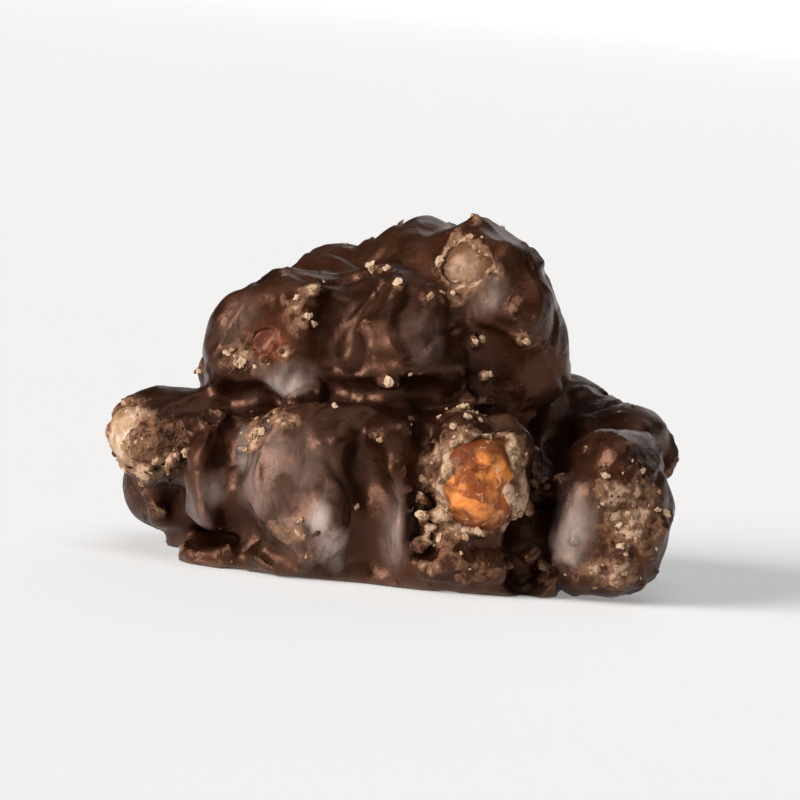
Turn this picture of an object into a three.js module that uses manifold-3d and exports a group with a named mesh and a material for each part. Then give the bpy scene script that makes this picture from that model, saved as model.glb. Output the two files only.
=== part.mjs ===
// A dark chocolate peanut cluster: roasted peanut kernels coated and bound together
// by dark chocolate, dropped on a flat sheet to set. It is one fused lump with a flat
// underside and a thin foot of chocolate that ran out round it, and in a few places a
// kernel shows where its coat has broken away. Millimetres, +Z up, viewed from -Y.
import * as THREE from 'three';
import { mergeVertices } from 'three/addons/utils/BufferGeometryUtils.js';
import Module from 'manifold-3d';

const wasm = await Module();
wasm.setup();

// ---------------------------------------------------------------- driving sizes
const COAT = 0.55;             // mean thickness of chocolate over a kernel
const GAP = 0.3;               // room left between a bare kernel and its pocket
const FILLET = 1.3;            // chocolate that gathers in the creases between kernels
const FILL_FILLET = 2.2;       // and between the kernels and the middle
const FOOT_FILLET = 0.9;
const FOOT = { thickness: 1.3, centre: [-0.9, 0.7], radii: [15.2, 12.7], squareness: 2.5,
  waves: [[5, 0.80, 0.6], [8, 0.50, 2.1], [11, 0.35, 4.0]] }; // count, mm, phase
// slow bending of the whole, so that no two kernels are alike: wavelength, amplitude, phase
const BEND = [[15.0, 0.40, 0.4], [7.0, 0.20, 2.3]];
const SKIN_DETAIL = 16;        // subdivisions of the coat's surface
const SKIN_HEART = [-0.5, 0.5, 6.0];   // the point that the surface is drawn round
const SKIN_SPREAD = [20, 15.5, 16];    // evens out its triangles
const REACH = 30;              // nothing lies further than this from the heart
const EVEN = 0.45;             // the most that one point may stand off the mean of those round it
const SHIFT = [0.827, -0.872, 0];      // puts the middle of the underside at the origin

// Each coated kernel: centre, half sizes (long, wide, thick), then the heading of its long
// axis round Z from +X, its rise and its roll, its taper, and its squareness.
const LUMPS = {
  // lower row, viewer's side
  front_left_tall: [[-6.8, -9.4, 6.3], [6.3, 4.5, 4.0], [80, 78, 0], 0, 2.6],
  front_mid_tall: [[-0.5, -10.0, 5.6], [6.2, 3.1, 3.2], [-80, 80, 0], 0, 2.4],
  front_right_nut: [[4.9, -8.6, 7.9], [6.2, 4.1, 4.7], [-95, 14, 0], 0, 2.2],
  front_low: [[4.6, -9.4, 3.0], [5.2, 3.2, 3.0], [5, -4, 0], 0, 2.3],
  right_big: [[14.6, -6.2, 6.2], [6.2, 4.7, 5.0], [60, 68, 0], -0.10, 2.1],
  right_ledge: [[13.9, 0.6, 9.7], [4.7, 3.9, 3.4], [-20, 12, 0], 0, 2.6],
  right_bump: [[11.8, 3.4, 11.3], [3.6, 2.7, 2.9], [70, 35, 0], 0, 2.2],
  left_end: [[-14.0, -4.6, 8.3], [6.3, 4.0, 3.7], [176, 2, 0], 0.05, 2.3],
  left_mid: [[-12.6, -8.0, 6.6], [4.6, 3.2, 3.2], [110, 60, 0], 0, 2.3],
  // upper storey
  upper_left: [[-8.7, -4.0, 15.9], [6.5, 4.55, 4.35], [8, 26, 0], -0.08, 2.4],
  upper_mid: [[-1.2, -5.2, 16.5], [5.6, 4.3, 4.2], [100, 55, 0], 0, 2.3],
  upper_right: [[5.3, -3.0, 18.3], [7.2, 4.75, 4.6], [170, 62, 0], 0, 2.3],
  upper_back: [[-3.6, 1.2, 17.3], [6.0, 5.0, 4.8], [150, 20, 0], 0, 2.3],
  crown: [[0.0, -0.8, 20.9], [4.6, 3.8, 4.1], [100, 10, 0], 0, 2.3],
  // far side
  back_left_tall: [[-10.0, 5.6, 11.6], [6.6, 4.6, 4.4], [-60, 50, 0], 0, 2.3],
  back_mid: [[-2.4, 10.2, 8.0], [6.8, 4.5, 4.4], [15, 20, 0], 0, 2.4],
  back_right: [[7.4, 9.0, 8.6], [6.6, 4.6, 4.3], [100, 60, 0], 0, 2.3],
  back_top: [[4.4, 4.6, 15.8], [6.4, 4.5, 4.4], [40, -25, 0], 0, 2.3],
  back_low_left: [[-11.2, 8.6, 4.2], [6.4, 4.2, 4.0], [35, 5, 0], 0, 2.4],
  back_low_mid: [[1.6, 12.4, 3.8], [6.2, 3.8, 3.7], [170, 0, 0], 0, 2.3],
  back_low_right: [[12.2, 7.6, 4.2], [6.2, 4.2, 4.0], [-40, 8, 0], 0, 2.3],
  left_back: [[-16.0, 1.8, 5.4], [5.6, 4.0, 4.0], [100, 10, 0], 0, 2.4],
};
// the chocolate and the buried kernels that fill the middle
const FILL = {
  fill_low: [[0, -0.5, 5.0], [14.0, 10.5, 6.6], [0, 0, 0], 0, 2.0],
  fill_mid: [[-1, -0.5, 11.5], [10.5, 7.6, 6.5], [0, 0, 0], 0, 2.0],
  fill_top: [[-0.5, -0.5, 17.0], [8.0, 5.0, 5.0], [0, 0, 0], 0, 2.0],
};
// Split kernels under the coat: the way their flat side faces, how far out it is, and how
// round its rim is.
const FLATS = {
  front_left_tall: [[-0.22, -1.0, 0.05], 3.75, 1.2],
  right_big: [[0.1, -1.0, -0.1], 4.2, 1.2],
  back_mid: [[0.1, 1.0, 0.5], 3.4, 0.9],
  back_top: [[0.3, 0.6, 0.9], 3.5, 0.9],
};
// Bare kernels: the coated kernel each lies in, the way it shows, how far it is pushed
// out of its coat, and the radius of the place where the coat has broken away.
const KERNELS = {
  peanut_front: ['front_right_nut', [0.03, -1.0, 0.04], 0.50, 2.8],
  peanut_left: ['left_end', [-1.0, -0.30, 0.02], 0.50, 1.9],
  peanut_upper_left: ['upper_left', [-0.38, -0.95, 0.02], 0.30, 1.2],
  peanut_top: ['upper_right', [-0.50, -0.66, 0.85], 0.22, 1.6],
  peanut_back_left: ['back_left_tall', [-0.5, 0.8, 0.35], 0.45, 2.1],
  peanut_back_right: ['back_right', [0.35, 0.95, 0.1], 0.50, 2.4],
};
const CHOCOLATE = new THREE.MeshStandardMaterial({ color: 0x3a2119, roughness: 0.38, metalness: 0 });
const PEANUT = new THREE.MeshStandardMaterial({ color: 0xb97a42, roughness: 0.6, metalness: 0 });

// ---------------------------------------------------------------- the coat's surface
const rad = THREE.MathUtils.degToRad;

// a kernel's own axes in the cluster: long axis along its heading and rise
function axes(angles) {
  const [heading, rise, roll] = angles.map(rad);
  return new THREE.Matrix4().makeRotationZ(heading)
    .multiply(new THREE.Matrix4().makeRotationY(-rise))
    .multiply(new THREE.Matrix4().makeRotationX(roll));
}

// the slow bend, a smooth field of small shifts
function bend(p) {
  const out = new THREE.Vector3();
  for (const [wave, amount, phase] of BEND) {
    const k = (2 * Math.PI) / wave;
    out.x += amount * Math.sin(k * p.y + phase) * Math.cos(k * 0.7 * p.z + 1.7 * phase);
    out.y += amount * Math.sin(k * p.z + 1.3 + phase) * Math.cos(k * 0.7 * p.x + 0.6 * phase);
    out.z += amount * Math.sin(k * p.x + 2.1 + phase) * Math.cos(k * 0.7 * p.y + 2.2 * phase);
  }
  return out;
}

const prepared = (table) => Object.entries(table).map(([name, [centre, size, angles, taper, square]]) => ({
  centre: new THREE.Vector3(...centre), size, taper, square,
  toLocal: axes(angles).transpose(),
  flat: FLATS[name] && { way: new THREE.Vector3(...FLATS[name][0]).normalize(), out: FLATS[name][1], soft: FLATS[name][2] },
}));
const lumps = prepared(LUMPS);
const fill = prepared(FILL);

// how far a point is from one rounded lump, less than nothing inside
function lumpDistance(p, { centre, size, taper, square, toLocal, flat }) {
  const away = p.clone().sub(centre);
  const q = away.clone().applyMatrix4(toLocal).toArray();
  const fat = 1 + taper * THREE.MathUtils.clamp(q[0] / size[0], -1.2, 1.2);
  q[1] /= fat;
  q[2] /= fat;
  let sum = 0, slope = 0;
  for (let i = 0; i < 3; i++) {
    const u = Math.abs(q[i]) / size[i] + 1e-6;
    sum += u ** square;
    slope += (u ** (square - 1) / size[i]) ** 2;
  }
  const d = (sum ** (1 / square) - 1) / (Math.sqrt(slope) * sum ** (1 / square - 1));
  return flat ? -joined(-d, flat.out - away.dot(flat.way), flat.soft) : d;
}

// joins two distances with a fillet
function joined(a, b, fillet) {
  const h = Math.max(fillet - Math.abs(a - b), 0) / fillet;
  return Math.min(a, b) - h * h * fillet * 0.25;
}

// the foot: a thin slab with a rounded, slightly wavy outline
function footDistance(p) {
  const x = p.x - FOOT.centre[0], y = p.y - FOOT.centre[1];
  const a = Math.atan2(y / FOOT.radii[1], x / FOOT.radii[0]);
  const wave = FOOT.waves.reduce((sum, [n, mm, phase]) => sum + mm * Math.sin(n * a + phase), 0);
  const e = FOOT.squareness;
  const r = ((Math.abs(x) / (FOOT.radii[0] + wave)) ** e + (Math.abs(y) / (FOOT.radii[1] + wave)) ** e) ** (1 / e);
  const side = ((r - 1) * Math.hypot(x, y)) / Math.max(r, 1e-3);
  return Math.max(side, p.z - FOOT.thickness, -3 - p.z);
}

function clusterDistance(p) {
  const q = p.clone().add(bend(p));
  let d = Infinity;
  for (const l of lumps) {
    const e = lumpDistance(q, l);
    d = d === Infinity ? e : joined(d, e, FILLET);
  }
  let f = Infinity;
  for (const l of fill) {
    const e = lumpDistance(q, l);
    f = f === Infinity ? e : joined(f, e, 4);
  }
  return joined(joined(d, f, FILL_FILLET), footDistance(p), FOOT_FILLET);
}

// the outermost crossing of the surface along a ray from the heart
function surfaceAlong(way) {
  const heart = new THREE.Vector3(...SKIN_HEART);
  const at = (r) => heart.clone().addScaledVector(way, r);
  let r = REACH, d = clusterDistance(at(r));
  while (d > 0.02 && r > 0) {
    r -= Math.max(0.04, d * 0.6);
    d = clusterDistance(at(r));
  }
  return at(r);
}

// the whole surface: points spread round the heart, evened out where the lumps overhang
function skin() {
  const g = new THREE.IcosahedronGeometry(1, SKIN_DETAIL);
  g.deleteAttribute('normal');
  g.deleteAttribute('uv');
  const m = mergeVertices(g, 1e-5);
  const pos = m.attributes.position;
  const heart = new THREE.Vector3(...SKIN_HEART);
  const ways = [], around = [];
  for (let i = 0; i < pos.count; i++) {
    ways.push(new THREE.Vector3().fromBufferAttribute(pos, i).multiply(new THREE.Vector3(...SKIN_SPREAD)).normalize());
    around.push(new Set());
  }
  for (let i = 0; i < m.index.count; i += 3) {
    const t = [0, 1, 2].map((k) => m.index.getX(i + k));
    for (let k = 0; k < 3; k++) around[t[k]].add(t[(k + 1) % 3]).add(t[(k + 2) % 3]);
  }
  let reach = ways.map((way) => surfaceAlong(way).distanceTo(heart));
  for (let pass = 0; pass < 4; pass++) {
    reach = reach.map((r, i) => {
      let mean = 0;
      for (const j of around[i]) mean += reach[j] / around[i].size;
      return mean + THREE.MathUtils.clamp(r - mean, -EVEN, EVEN);
    });
  }
  ways.forEach((way, i) => pos.setXYZ(i, ...way.multiplyScalar(reach[i]).add(heart).toArray()));
  return m;
}

// ---------------------------------------------------------------- the bare kernels
// a kernel's half sizes and taper, and the shallow seam between its two halves
function kernel(name, grow) {
  const [host, way, out] = KERNELS[name];
  const [centre, size, angles, taper] = LUMPS[host];
  const g = new THREE.SphereGeometry(1, 14, 10);
  g.rotateZ(Math.PI / 2);
  const pos = g.attributes.position;
  const v = new THREE.Vector3();
  for (let i = 0; i < pos.count; i++) {
    v.fromBufferAttribute(pos, i);
    const fat = 1 + taper * v.x;
    const seam = 1 - 0.07 * Math.exp(-((v.z / 0.2) ** 2)) * (1 - v.x ** 4);
    pos.setXYZ(i, v.x * (size[0] - COAT + grow), v.y * (size[1] - COAT + grow) * fat * seam,
      v.z * (size[2] - COAT + grow) * fat);
  }
  const push = new THREE.Vector3(...way).normalize().multiplyScalar(out);
  g.applyMatrix4(axes(angles).setPosition(new THREE.Vector3(...centre).add(push)));
  for (let i = 0; i < pos.count; i++) {      // bent with the rest of the cluster
    const straight = new THREE.Vector3().fromBufferAttribute(pos, i);
    const bent = straight.clone();
    for (let pass = 0; pass < 5; pass++) bent.copy(straight).sub(bend(bent));
    pos.setXYZ(i, bent.x, bent.y, bent.z);
  }
  return g;
}

// the broken place in the coat over a bare kernel, with an uneven rim
function window(name) {
  const [host, way, , radius] = KERNELS[name];
  const [centre, size, angles] = LUMPS[host];
  const out = new THREE.Vector3(...way).normalize();
  const own = out.clone().applyMatrix4(axes(angles).transpose());
  const reach = 1 / Math.hypot(...own.toArray().map((v, i) => v / (size[i] - COAT)));
  const g = new THREE.IcosahedronGeometry(1, 3);
  const pos = g.attributes.position;
  const v = new THREE.Vector3();
  for (let i = 0; i < pos.count; i++) {
    v.fromBufferAttribute(pos, i);
    const ragged = 1 + 0.10 * Math.sin(5 * v.x + 4 * v.z + reach) + 0.07 * Math.sin(7 * v.y - 6 * v.z);
    v.multiplyScalar(radius * ragged);
    pos.setXYZ(i, v.x, v.y, v.z);
  }
  const straight = new THREE.Vector3(...centre).addScaledVector(out, reach);
  const bent = straight.clone();
  for (let pass = 0; pass < 5; pass++) bent.copy(straight).sub(bend(bent));
  return g.translate(...bent.toArray());
}

// ---------------------------------------------------------------- joining and cutting
function solid(geometry) {
  geometry.deleteAttribute('normal');
  geometry.deleteAttribute('uv');
  const m = mergeVertices(geometry, 1e-5);
  return new wasm.Manifold(new wasm.Mesh({
    numProp: 3,
    vertProperties: new Float32Array(m.attributes.position.array),
    triVerts: new Uint32Array(m.index.array),
  }));
}

function toGeometry(manifold) {
  const mesh = manifold.getMesh();
  const g = new THREE.BufferGeometry();
  g.setAttribute('position', new THREE.BufferAttribute(new Float32Array(mesh.vertProperties), 3));
  g.setIndex(new THREE.BufferAttribute(new Uint32Array(mesh.triVerts), 1));
  return g;
}

// the coat, set on a flat sheet, with a pocket and a broken place for each bare kernel
const below = new THREE.BoxGeometry(80, 80, 20).translate(0, 0, -10);
let body = solid(skin()).subtract(solid(below));
for (const name of Object.keys(KERNELS)) {
  body = body.subtract(solid(kernel(name, GAP))).subtract(solid(window(name)));
}

const cluster = new THREE.Group();
cluster.position.set(...SHIFT);
const add = (name, geometry, material) => {
  const mesh = new THREE.Mesh(geometry, material);
  mesh.name = name;
  cluster.add(mesh);
};
add('chocolate_body', toGeometry(body), CHOCOLATE);
for (const name of Object.keys(KERNELS)) add(name, toGeometry(solid(kernel(name, 0))), PEANUT);

export default cluster;
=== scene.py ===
"""A dark chocolate peanut cluster: the fine surface of the coat, the bare kernels and the
crumbs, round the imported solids. Sizes in the tables are millimetres; the meshes are metres."""
import math

import bpy
import mathutils
import numpy as np
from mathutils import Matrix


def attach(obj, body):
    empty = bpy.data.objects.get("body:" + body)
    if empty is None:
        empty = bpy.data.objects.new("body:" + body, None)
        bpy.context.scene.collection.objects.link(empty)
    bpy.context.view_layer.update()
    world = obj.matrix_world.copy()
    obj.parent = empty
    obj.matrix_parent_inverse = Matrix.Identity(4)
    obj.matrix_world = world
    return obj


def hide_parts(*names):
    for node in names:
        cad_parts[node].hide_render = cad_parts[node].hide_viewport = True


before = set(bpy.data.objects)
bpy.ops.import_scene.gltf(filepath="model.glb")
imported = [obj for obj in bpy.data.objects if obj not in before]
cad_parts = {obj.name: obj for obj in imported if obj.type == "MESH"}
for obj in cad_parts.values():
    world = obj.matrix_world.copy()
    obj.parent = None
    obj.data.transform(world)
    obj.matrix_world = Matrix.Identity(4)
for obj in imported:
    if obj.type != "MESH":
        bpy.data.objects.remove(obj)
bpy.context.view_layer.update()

F = np.float32
SHIFT = np.array([0.827, -0.872, 0.0], F)   # from the tables' frame to the part's
STEP = 0.30         # spacing of the coat's surface
FILLET, FILL_FILLET, FOOT_FILLET = 0.95, 2.0, 0.8
COAT = 0.55
FOOT = dict(thickness=1.3, centre=(-0.9, 0.7), radii=(15.2, 12.7), squareness=2.5,
            waves=((5, 0.80, 0.6), (8, 0.50, 2.1), (11, 0.35, 4.0)))
BEND = ((15.0, 0.40, 0.4), (7.0, 0.20, 2.3))

# centre, half sizes, (heading, rise, roll) of the long axis, taper, squareness
LUMPS = dict(
    front_left_tall=((-6.8, -9.4, 6.3), (6.3, 4.5, 4.0), (80, 78, 0), 0, 2.4),
    front_mid_tall=((-0.5, -10.0, 5.6), (6.2, 3.1, 3.2), (-80, 80, 0), 0, 2.4),
    front_right_nut=((4.9, -8.6, 7.9), (6.2, 4.1, 4.7), (-95, 14, 0), 0, 2.2),
    front_low=((4.6, -9.4, 3.0), (5.2, 3.2, 3.0), (5, -4, 0), 0, 2.3),
    right_big=((14.6, -6.2, 6.2), (6.2, 4.7, 5.0), (60, 68, 0), -0.10, 2.1),
    right_ledge=((13.9, 0.6, 9.7), (4.7, 3.9, 3.4), (-20, 12, 0), 0, 2.6),
    right_bump=((11.8, 3.4, 11.3), (3.6, 2.7, 2.9), (70, 35, 0), 0, 2.2),
    left_end=((-14.0, -4.6, 8.3), (6.3, 4.0, 3.7), (176, 2, 0), 0.05, 2.3),
    left_mid=((-12.6, -8.0, 6.6), (4.6, 3.2, 3.2), (110, 60, 0), 0, 2.3),
    upper_left=((-8.7, -4.0, 15.9), (6.5, 4.55, 4.35), (8, 26, 0), -0.08, 2.4),
    upper_mid=((-1.2, -5.2, 16.5), (5.6, 4.3, 4.2), (100, 55, 0), 0, 2.3),
    upper_right=((5.3, -3.0, 18.3), (7.2, 4.75, 4.6), (170, 62, 0), 0, 2.3),
    upper_back=((-3.6, 1.2, 17.3), (6.0, 5.0, 4.8), (150, 20, 0), 0, 2.3),
    crown=((0.0, -0.8, 20.9), (4.6, 3.8, 4.1), (100, 10, 0), 0, 2.3),
    back_left_tall=((-10.0, 5.6, 11.6), (6.6, 4.6, 4.4), (-60, 50, 0), 0, 2.3),
    back_mid=((-2.4, 10.2, 8.0), (6.8, 4.5, 4.4), (15, 20, 0), 0, 2.4),
    back_right=((7.4, 9.0, 8.6), (6.6, 4.6, 4.3), (100, 60, 0), 0, 2.3),
    back_top=((4.4, 4.6, 15.8), (6.4, 4.5, 4.4), (40, -25, 0), 0, 2.3),
    back_low_left=((-11.2, 8.6, 4.2), (6.4, 4.2, 4.0), (35, 5, 0), 0, 2.4),
    back_low_mid=((1.6, 12.4, 3.8), (6.2, 3.8, 3.7), (170, 0, 0), 0, 2.3),
    back_low_right=((12.2, 7.6, 4.2), (6.2, 4.2, 4.0), (-40, 8, 0), 0, 2.3),
    left_back=((-16.0, 1.8, 5.4), (5.6, 4.0, 4.0), (100, 10, 0), 0, 2.4),
)
FILL = dict(
    fill_low=((0, -0.5, 5.0), (14.0, 10.5, 6.6), (0, 0, 0), 0, 2.0),
    fill_mid=((-1, -0.5, 11.5), (10.5, 7.6, 6.5), (0, 0, 0), 0, 2.0),
    fill_top=((-0.5, -0.5, 17.0), (8.0, 5.0, 5.0), (0, 0, 0), 0, 2.0),
)
# a split kernel's flat side under the coat: the way it faces, how far out, how round its rim
FLATS = dict(
    front_left_tall=(((-0.22, -1.0, 0.05), 3.75, 1.2),),
    right_big=(((0.1, -1.0, -0.1), 4.2, 1.2),),
    upper_left=(((-0.25, -1.0, 0.25), 3.7, 1.0),),
    back_mid=(((0.1, 1.0, 0.5), 3.4, 0.9),),
    back_top=(((0.3, 0.6, 0.9), 3.5, 0.9),),
)
# bare kernels: host, the way they show, push out of the coat, radius of the broken place
KERNELS = dict(
    peanut_front=("front_right_nut", (0.03, -1.0, 0.04), 0.50, 2.8),
    peanut_left=("left_end", (-1.0, -0.30, 0.02), 0.50, 1.9),
    peanut_upper_left=("upper_left", (-0.38, -0.95, 0.02), 0.30, 1.2),
    peanut_top=("upper_right", (-0.50, -0.66, 0.85), 0.22, 1.6),
    peanut_back_left=("back_left_tall", (-0.5, 0.8, 0.35), 0.45, 2.1),
    peanut_back_right=("back_right", (0.35, 0.95, 0.1), 0.50, 2.4),
)
BREAKS = dict({name: row[3] for name, row in KERNELS.items()}, peanut_upper_left=0.85)
# how far they stand out of the coat's surface
LIFTS = dict(peanut_front=0.55, peanut_left=0.30, peanut_upper_left=0.02, peanut_top=0.15,
             peanut_back_left=0.30, peanut_back_right=0.40)
# how crumbly the coat is round them
RIMS = dict(peanut_front=0.95, peanut_left=0.8, peanut_upper_left=0.15, peanut_top=0.8,
            peanut_back_left=0.7, peanut_back_right=0.85)
# scuffed, crumbly places seen from the front: across, up, half width, half height, strength
SCUFFS = (
    (-10.6, 9.6, 1.1, 1.6, 1.0), (-8.8, 10.9, 1.9, 0.8, 1.0), (-7.2, 3.2, 1.4, 0.9, 0.8),
    (-12.0, 15.0, 1.3, 1.1, 1.0), (-8.7, 19.0, 0.9, 0.7, 1.0), (-7.3, 20.1, 1.1, 0.6, 0.9),
    (-7.7, 17.9, 0.7, 0.6, 0.9), (-9.1, 15.6, 0.8, 0.6, 0.8), (2.6, 24.0, 1.2, 1.5, 1.0),
    (5.3, 22.7, 0.8, 0.7, 0.8), (-1.4, 21.0, 0.7, 0.5, 0.8), (-1.6, 14.3, 0.6, 0.7, 0.7),
    (4.5, 17.6, 0.8, 0.8, 0.7), (5.2, 15.4, 0.8, 0.8, 0.8), (2.5, 4.0, 1.3, 1.2, 1.0),
    (14.0, 7.9, 0.9, 1.8, 0.9), (16.4, 6.2, 2.5, 4.3, 1.0), (15.0, 2.6, 2.8, 1.7, 1.0),
    (10.6, 2.0, 1.0, 1.1, 0.9), (-13.5, 10.7, 1.0, 0.9, 0.5), (-17.0, 3.6, 1.4, 0.8, 0.6),
    (5.1, 8.3, 4.5, 5.2, 0.80), (5.4, 2.0, 2.2, 1.2, 0.6), (8.0, 3.0, 0.9, 1.0, 0.5),
    (4.4, 12.7, 1.9, 1.4, 1.0), (2.6, 4.6, 1.5, 1.6, 1.0), (1.4, 5.6, 0.7, 1.2, 0.7), (-9.6, 21.2, 0.5, 0.4, 0.8),
    (15.0, 7.8, 1.2, 1.5, 1.0), (-18.0, 6.3, 1.1, 1.6, 1.0),
    (6.6, 20.4, 0.9, 1.6, 0.6), (-16.6, 8.0, 1.6, 2.6, 0.9),
)
# chocolate that fills a crease: its line, radius and fillet
BRIDGES = ((((-3.1, -9.7, 11.3), (-2.8, -9.9, 9.8), (-2.5, -10.2, 8.4)), 1.5, 1.3),)
# grooves between the lumps, seen from the front: places (across, up), radius, depth
GROOVES = (
    (((-15.4, 11.4), (-10.5, 12.3), (-6.2, 13.0), (-2.0, 13.4), (1.5, 13.7)), 0.6, 0.65, 1.1),
    (((-5.3, 20.8), (-5.6, 18.5), (-5.2, 16.2)), 1.3, 0.6, 1.4),
    (((5.5, 17.6), (5.9, 15.0), (6.2, 12.8)), 1.2, 0.9, 1.5),
    (((-2.2, 8.4), (-1.7, 4.5), (-1.4, 1.6)), 1.1, 0.8, 1.5),
    (((1.3, 11.0), (1.4, 8.0), (1.7, 5.4), (1.9, 3.0)), 0.7, 0.65, 1.0),
    (((10.4, 12.8), (9.9, 9.5), (9.1, 6.0), (9.3, 1.6)), 1.1, 1.15, 1.5),
    (((-12.0, 10.0), (-12.3, 6.4), (-11.6, 4.2), (-10.4, 2.7)), 0.9, 0.9, 1.2),
    (((-11.2, 3.4), (-9.6, 2.2), (-7.6, 1.2)), 0.7, 0.7, 0.9),
    (((-16.2, 8.8), (-15.8, 6.0), (-15.5, 3.6)), 0.9, 0.7, 1.2),
)
RINGS = ((-13.5, 10.7, 0.85),)
# half sunk bits chosen one by one: across, up, size, how far out
BEADS = ((3.4, 2.3, 1.9, 0.45), (7.1, 1.9, 1.7, 0.40), (-1.0, 1.2, 1.3, 0.30), (-8.2, 0.8, 1.2, 0.35),
         (-13.4, 1.7, 1.4, 0.45), (-11.9, 1.2, 1.0, 0.35), (12.6, 1.2, 1.3, 0.30), (6.3, 5.0, 1.2, 0.25),
         (7.4, 14.6, 1.9, 0.45), (2.9, 15.2, 1.6, 0.35), (-12.9, 14.2, 1.3, 0.3), (0.8, 20.2, 1.8, 0.40))
COBBLES, HOLLOWS, RUNS, CHIPS_EACH = 74, 110, 12, 3.5
# painted sheen: pale grey patches on the faces turned to the key lamp, seen from the front: across, up, half width,
# half height, strength
PAINTED_SHEENS = (
    (-9.4, 7.0, 1.9, 4.0, 1.0), (-6.4, 3.2, 2.4, 1.9, 1.0), (-0.3, 4.0, 1.1, 3.0, 1.0), (12.5, 5.6, 1.6, 3.2, 1.0),
    (-8.8, 14.2, 2.2, 1.1, 0.8), (4.8, 21.2, 1.5, 1.8, 0.8), (-13.6, 3.8, 1.0, 1.4, 0.7), (-12.2, 17.6, 1.2, 1.8, 0.5),
    (0.6, 17.4, 1.6, 1.8, 0.5), (-12.9, 5.6, 1.1, 1.5, 1.0), (-7.2, 5.8, 3.2, 4.0, 0.70),
)
# painted glints, the palest painted sheen: across, up, half width, half height, strength
PAINTED_GLINTS = (
    (-4.3, 2.4, 0.85, 1.6, 1.0), (-5.4, 4.2, 0.9, 1.3, 0.9), (-8.7, 13.4, 1.4, 0.70, 0.70), (-12.8, 5.3, 0.5, 0.9, 0.35),
    (12.0, 5.4, 0.9, 2.2, 0.70), (-11.2, 8.6, 0.5, 1.5, 0.5), (5.2, 20.6, 0.5, 0.7, 0.25), (-0.2, 3.6, 0.5, 1.7, 0.25),
)
# single chips of nut that catch the light: across, up, size
CHIPS = (
    (-3.5, 22.2, 0.46), (-1.7, 14.1, 0.34), (-2.7, 5.5, 0.26), (-12.9, 14.9, 0.32), (-5.0, 12.2, 0.24),
    (-8.4, 19.3, 0.32), (-7.4, 18.6, 0.28), (2.3, 20.6, 0.24), (4.4, 17.2, 0.26), (14.2, 9.0, 0.36),
    (3.7, 12.6, 0.34), (4.6, 12.9, 0.30), (5.2, 12.2, 0.26), (4.2, 11.9, 0.30), (2.4, 4.4, 0.40), (3.2, 3.7, 0.30),
)
# the photograph's view of the cluster, in the tables' frame
ELEVATION, ROLL, VIEW_DROP = 5.0, 5.35, 1.05


# ------------------------------------------------------------------ distances
def turned(angles):
    az, el, ro = np.radians(angles)
    ca, sa, ce, se, cr, sr = np.cos(az), np.sin(az), np.cos(el), np.sin(el), np.cos(ro), np.sin(ro)
    return (np.array([[ca, -sa, 0], [sa, ca, 0], [0, 0, 1]])
            @ np.array([[ce, 0, -se], [0, 1, 0], [se, 0, ce]])
            @ np.array([[1, 0, 0], [0, cr, -sr], [0, sr, cr]]))


def unit(v):
    v = np.asarray(v, float)
    return v / np.linalg.norm(v)


def lattice(i, j, k, seed):
    h = (i * np.uint32(374761393)) ^ (j * np.uint32(668265263)) ^ (k * np.uint32(2246822519)) ^ np.uint32((seed * 2654435761) & 0xFFFFFFFF)
    h ^= h >> np.uint32(15)
    h *= np.uint32(2246822519)
    h ^= h >> np.uint32(13)
    h *= np.uint32(3266489917)
    h ^= h >> np.uint32(16)
    return h.astype(F) * F(2.3283064e-10)


TILT = turned((31, 17, 43)).astype(F)


def noise(P, wave, seed=0):
    """Smooth noise from -1 to 1 whose features are about one wave apart."""
    q = (P @ TILT) / F(wave) + F(seed * 7.31)
    f = np.floor(q)
    t = (q - f).astype(F)
    i = f.astype(np.int64).astype(np.uint32)
    t = t * t * t * (t * (t * 6 - 15) + 10)
    out = 0
    one = np.uint32(1)
    for dx in (0, 1):
        wx = t[..., 0] if dx else 1 - t[..., 0]
        ix = i[..., 0] + one if dx else i[..., 0]
        for dy in (0, 1):
            wy = t[..., 1] if dy else 1 - t[..., 1]
            iy = i[..., 1] + one if dy else i[..., 1]
            for dz in (0, 1):
                wz = t[..., 2] if dz else 1 - t[..., 2]
                iz = i[..., 2] + one if dz else i[..., 2]
                out = out + wx * wy * wz * lattice(ix, iy, iz, seed)
    return out * 2 - 1


def bend(P):
    x, y, z = P[..., 0], P[..., 1], P[..., 2]
    o = np.zeros_like(P)
    for wave, amount, phase in BEND:
        k = F(2 * np.pi / wave)
        o[..., 0] += amount * np.sin(k * y + phase) * np.cos(k * 0.7 * z + 1.7 * phase)
        o[..., 1] += amount * np.sin(k * z + 1.3 + phase) * np.cos(k * 0.7 * x + 0.6 * phase)
        o[..., 2] += amount * np.sin(k * x + 2.1 + phase) * np.cos(k * 0.7 * y + 2.2 * phase)
    return o


def lump(P, row, grow=0.0, moved=(0, 0, 0), flats=()):
    centre, size, angles, taper, square = row
    size = np.array(size, F) + F(grow)
    R = turned(angles).astype(F)
    away = P - np.array(centre, F) - np.array(moved, F)
    q = away @ R
    if taper:
        fat = 1 + taper * np.clip(q[..., 0] / size[0], -1.2, 1.2)
        q = np.stack([q[..., 0], q[..., 1] / fat, q[..., 2] / fat], -1)
    u = np.abs(q) / size + F(1e-6)
    s = (u ** square).sum(-1)
    slope = np.sqrt(((u ** (square - 1) / size) ** 2).sum(-1)) * s ** (1 / square - 1)
    d = (s ** (1 / square) - 1) / slope
    for way, out, soft in flats:
        d = -joined(-d, -(away @ unit(way).astype(F) - F(out)), soft)
    return d


def joined(a, b, fillet):
    h = np.maximum(fillet - np.abs(a - b), 0) / fillet
    return np.minimum(a, b) - h * h * F(fillet * 0.25)


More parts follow.
